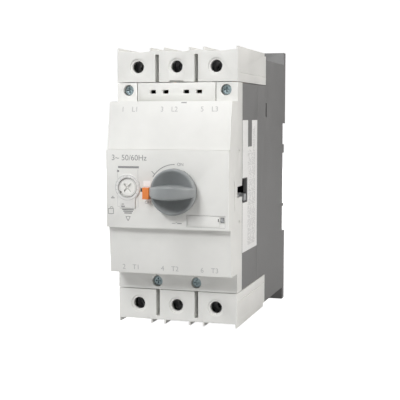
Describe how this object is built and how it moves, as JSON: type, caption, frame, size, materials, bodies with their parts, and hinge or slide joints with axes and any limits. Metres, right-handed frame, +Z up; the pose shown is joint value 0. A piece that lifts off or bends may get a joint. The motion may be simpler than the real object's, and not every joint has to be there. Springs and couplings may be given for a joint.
{
  "type": "rotary motor-protection circuit breaker",
  "caption": "Moulded-case three-pole circuit breaker with a rotary handle, current-setting dial, box terminals at both ends and a rail and panel mount at the back.",
  "frame": {"origin": "on the rear mounting plane, at the centre of the case's width and at the height of the rail's centre and the knob's axis", "axes": "+X to the right seen from the front, +Y into the panel (the front faces -Y), +Z up"},
  "size_m": [0.0701, 0.158, 0.165],
  "materials": {
    "grey_moulding": "fine moulded texture",
    "white_moulding": "satin moulded",
    "knob_grey": "satin moulded",
    "orange_tab": "satin moulded",
    "ivory_plastic": "satin moulded",
    "clear_plastic": "clear, polished",
    "label_film": "matte film",
    "dark_plastic": "satin moulded",
    "light_grey_plastic": "satin moulded",
    "black_steel": "blackened, dull",
    "blue_zinc": "bluish zinc plate",
    "zinc_steel": "zinc plated",
    "copper": "bare copper alloy"
  },
  "bodies": {
    "case": {"rear_base": "grey_moulding", "middle_case": "grey_moulding", "front_cover": "white_moulding", "face_plate": "white_moulding", "upper_terminal_cover": "white_moulding", "lower_terminal_cover": "white_moulding", "auxiliary_cover": "white_moulding", "dial_window": "clear_plastic", "side_label": "label_film", "label_insert": "white_moulding", "cover_screws": "blue_zinc", "din_latch_spring": "zinc_steel", "mechanism_frame": "zinc_steel", "opening_springs": "zinc_steel", "arc_chutes": "zinc_steel", "terminal_cages": "zinc_steel", "bimetals": "zinc_steel", "line_conductor_1": "copper", "load_contact_1": "copper", "coil_1": "copper", "line_conductor_2": "copper", "load_contact_2": "copper", "coil_2": "copper", "line_conductor_3": "copper", "load_contact_3": "copper", "coil_3": "copper", "load_conductors": "copper"},
    "knob": {"knob": "knob_grey", "knob_shaft": "zinc_steel"},
    "lock_tab": {"lock_tab": "orange_tab"},
    "dial": {"setting_dial": "ivory_plastic", "dial_cam": "ivory_plastic"},
    "test_button": {"test_button": "light_grey_plastic"},
    "carrier": {"drive_slide": "dark_plastic", "contact_carrier": "dark_plastic", "contact_springs": "zinc_steel", "auxiliary_lever": "light_grey_plastic", "contact_bridge_1": "copper", "contact_bridge_2": "copper", "contact_bridge_3": "copper"},
    "trip_bar": {"trip_bar": "dark_plastic"},
    "latch_lever": {"latch_lever": "zinc_steel"},
    "trip_slider": {"trip_slider": "ivory_plastic"},
    "plunger_1": {"plunger_1": "zinc_steel"},
    "plunger_2": {"plunger_2": "zinc_steel"},
    "plunger_3": {"plunger_3": "zinc_steel"},
    "rail_latch": {"din_latch": "dark_plastic"},
    "screw_1": {"terminal_screw_1": "black_steel"},
    "clamp_1": {"pressure_plate_1": "zinc_steel"},
    "screw_2": {"terminal_screw_2": "black_steel"},
    "clamp_2": {"pressure_plate_2": "zinc_steel"},
    "screw_3": {"terminal_screw_3": "black_steel"},
    "clamp_3": {"pressure_plate_3": "zinc_steel"},
    "screw_4": {"terminal_screw_4": "black_steel"},
    "clamp_4": {"pressure_plate_4": "zinc_steel"},
    "screw_5": {"terminal_screw_5": "black_steel"},
    "clamp_5": {"pressure_plate_5": "zinc_steel"},
    "screw_6": {"terminal_screw_6": "black_steel"},
    "clamp_6": {"pressure_plate_6": "zinc_steel"}
  },
  "joints": [
    {"name": "knob_turn", "type": "hinge", "parent": "case", "child": "knob", "pos_m": [0.0047, -0.15, 0], "axis": [0, 1, 0], "range_deg": [0, 90]},
    {"name": "lock_tab_pull", "type": "slide", "parent": "knob", "child": "lock_tab", "axis": [-1, 0, 0], "range_m": [0, 0.004]},
    {"name": "dial_turn", "type": "hinge", "parent": "case", "child": "dial", "pos_m": [-0.0225, -0.142, 0.0017], "axis": [0, 1, 0], "range_deg": [-120, 120]},
    {"name": "test_press", "type": "slide", "parent": "case", "child": "test_button", "axis": [0, 1, 0], "range_m": [0, 0.002], "stiffness_N_per_m": 300},
    {"name": "carrier_lift", "type": "slide", "parent": "case", "child": "carrier", "axis": [0, 0, 1], "range_m": [0, 0.0095], "deforming": ["opening_springs"]},
    {"name": "trip_turn", "type": "hinge", "parent": "case", "child": "trip_bar", "pos_m": [0, -0.07, -0.012], "axis": [-1, 0, 0], "range_deg": [0, 8], "stiffness_Nm_per_rad": 0.3},
    {"name": "latch_turn", "type": "hinge", "parent": "case", "child": "latch_lever", "pos_m": [0.0047, -0.1, -0.02], "axis": [1, 0, 0], "range_deg": [0, 5.2]},
    {"name": "trip_slide", "type": "slide", "parent": "case", "child": "trip_slider", "axis": [-1, 0, 0], "range_m": [0, 0.003], "stiffness_N_per_m": 100},
    {"name": "latch_pull", "type": "slide", "parent": "case", "child": "rail_latch", "axis": [0, 0, -1], "range_m": [0, 0.003], "stiffness_N_per_m": 800, "deforming": ["din_latch_spring"]},
    {"name": "plunger_1_travel", "type": "slide", "parent": "case", "child": "plunger_1", "axis": [0, -1, 0], "range_m": [0, 0.003], "stiffness_N_per_m": 200},
    {"name": "plunger_2_travel", "type": "slide", "parent": "case", "child": "plunger_2", "axis": [0, -1, 0], "range_m": [0, 0.003], "stiffness_N_per_m": 200},
    {"name": "plunger_3_travel", "type": "slide", "parent": "case", "child": "plunger_3", "axis": [0, -1, 0], "range_m": [0, 0.003], "stiffness_N_per_m": 200},
    {"name": "clamp_1_travel", "type": "slide", "parent": "case", "child": "clamp_1", "axis": [0, 1, 0], "range_m": [0, 0.0085]},
    {"name": "screw_1_turn", "type": "hinge", "parent": "clamp_1", "child": "screw_1", "pos_m": [-0.02275, -0.11, 0.0679], "axis": [0, 1, 0], "range_deg": [0, 2304]},
    {"name": "clamp_2_travel", "type": "slide", "parent": "case", "child": "clamp_2", "axis": [0, 1, 0], "range_m": [0, 0.0085]},
    {"name": "screw_2_turn", "type": "hinge", "parent": "clamp_2", "child": "screw_2", "pos_m": [0, -0.11, 0.0679], "axis": [0, 1, 0], "range_deg": [0, 2304]},
    {"name": "clamp_3_travel", "type": "slide", "parent": "case", "child": "clamp_3", "axis": [0, 1, 0], "range_m": [0, 0.0085]},
    {"name": "screw_3_turn", "type": "hinge", "parent": "clamp_3", "child": "screw_3", "pos_m": [0.02275, -0.11, 0.0679], "axis": [0, 1, 0], "range_deg": [0, 2304]},
    {"name": "clamp_4_travel", "type": "slide", "parent": "case", "child": "clamp_4", "axis": [0, 1, 0], "range_m": [0, 0.0085]},
    {"name": "screw_4_turn", "type": "hinge", "parent": "clamp_4", "child": "screw_4", "pos_m": [-0.02275, -0.11, -0.0657], "axis": [0, 1, 0], "range_deg": [0, 2304]},
    {"name": "clamp_5_travel", "type": "slide", "parent": "case", "child": "clamp_5", "axis": [0, 1, 0], "range_m": [0, 0.0085]},
    {"name": "screw_5_turn", "type": "hinge", "parent": "clamp_5", "child": "screw_5", "pos_m": [0, -0.11, -0.0657], "axis": [0, 1, 0], "range_deg": [0, 2304]},
    {"name": "clamp_6_travel", "type": "slide", "parent": "case", "child": "clamp_6", "axis": [0, 1, 0], "range_m": [0, 0.0085]},
    {"name": "screw_6_turn", "type": "hinge", "parent": "clamp_6", "child": "screw_6", "pos_m": [0.02275, -0.11, -0.0657], "axis": [0, 1, 0], "range_deg": [0, 2304]}
  ],
  "couplings": [
    {"joint": "carrier_lift", "follows": "knob_turn", "m_per_rad": 0.0054019},
    {"joint": "latch_turn", "follows": "trip_turn", "ratio": 0.6},
    {"joint": "clamp_1_travel", "follows": "screw_1_turn", "m_per_rad": 0.00019894},
    {"joint": "clamp_2_travel", "follows": "screw_2_turn", "m_per_rad": 0.00019894},
    {"joint": "clamp_3_travel", "follows": "screw_3_turn", "m_per_rad": 0.00019894},
    {"joint": "clamp_4_travel", "follows": "screw_4_turn", "m_per_rad": 0.00019894},
    {"joint": "clamp_5_travel", "follows": "screw_5_turn", "m_per_rad": 0.00019894},
    {"joint": "clamp_6_travel", "follows": "screw_6_turn", "m_per_rad": 0.00019894}
  ]
}
